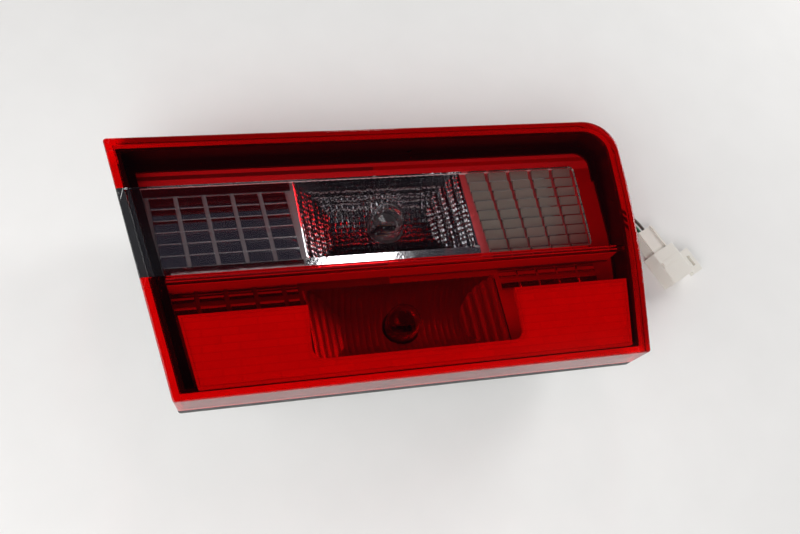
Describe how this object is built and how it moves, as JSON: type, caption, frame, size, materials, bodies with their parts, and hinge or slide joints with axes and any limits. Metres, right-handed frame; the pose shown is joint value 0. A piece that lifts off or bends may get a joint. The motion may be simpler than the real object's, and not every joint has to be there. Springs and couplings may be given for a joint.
{
  "type": "tail light cluster",
  "caption": "Inner tail lamp for a boot lid: red lens with a clear reversing window, bright fluted reflectors, black tub with studs and gasket, and short wires to a nylon plug.",
  "frame": {"origin": "on the plane of the stud tips that it lies on, under the middle of the housing rim", "axes": "+Z out of the lens, +Y to the top edge of the lamp, +X to its upright right-hand side"},
  "size_m": [0.3599, 0.1404, 0.0757],
  "materials": {
    "red_lens": "clear red acrylic, polished",
    "clear_lens": "clear acrylic, polished",
    "weld_red": "melted red acrylic bead",
    "weld_clear": "melted clear acrylic bead, dark over the black rim",
    "housing_plastic": "fine grained black plastic",
    "bezel_black": "satin black plastic",
    "reflector_chrome": "bright vacuum coating",
    "panel_red": "fine grained red plastic",
    "bulb_glass": "clear glass",
    "filament_wire": "drawn wire",
    "socket_plastic": "dark grey plastic",
    "contact_brass": "stamped brass",
    "seal_rubber": "moulded rubber",
    "zinc_steel": "zinc plated steel",
    "gasket_foam": "closed cell foam",
    "wire_brown": "grey brown wire insulation",
    "wire_green": "green wire insulation",
    "wire_grey": "dark grey wire insulation",
    "plug_nylon": "off-white nylon"
  },
  "bodies": {
    "root": {"lens_red": "red_lens", "lens_clear": "clear_lens", "weld_red": "weld_red", "weld_clear": "weld_clear", "housing": "housing_plastic", "bezel": "bezel_black", "reverse_reflector": "reflector_chrome", "tail_reflector": "reflector_chrome", "red_panel": "panel_red", "reverse_bulb": "bulb_glass", "tail_bulb": "bulb_glass", "reverse_filament": "filament_wire", "tail_filament": "filament_wire", "reverse_socket": "socket_plastic", "tail_socket": "socket_plastic", "reverse_contacts": "contact_brass", "tail_contacts": "contact_brass", "socket_seals": "seal_rubber", "studs": "zinc_steel", "mount_gasket": "gasket_foam", "reflector_screws": "zinc_steel", "vent_caps": "seal_rubber", "reverse_wire": "wire_brown", "tail_wire": "wire_green", "earth_wire": "wire_grey", "link_wire": "wire_grey", "plug_body": "plug_nylon", "plug_terminals": "contact_brass", "plug_lock": "plug_nylon"}
  },
  "joints": []
}
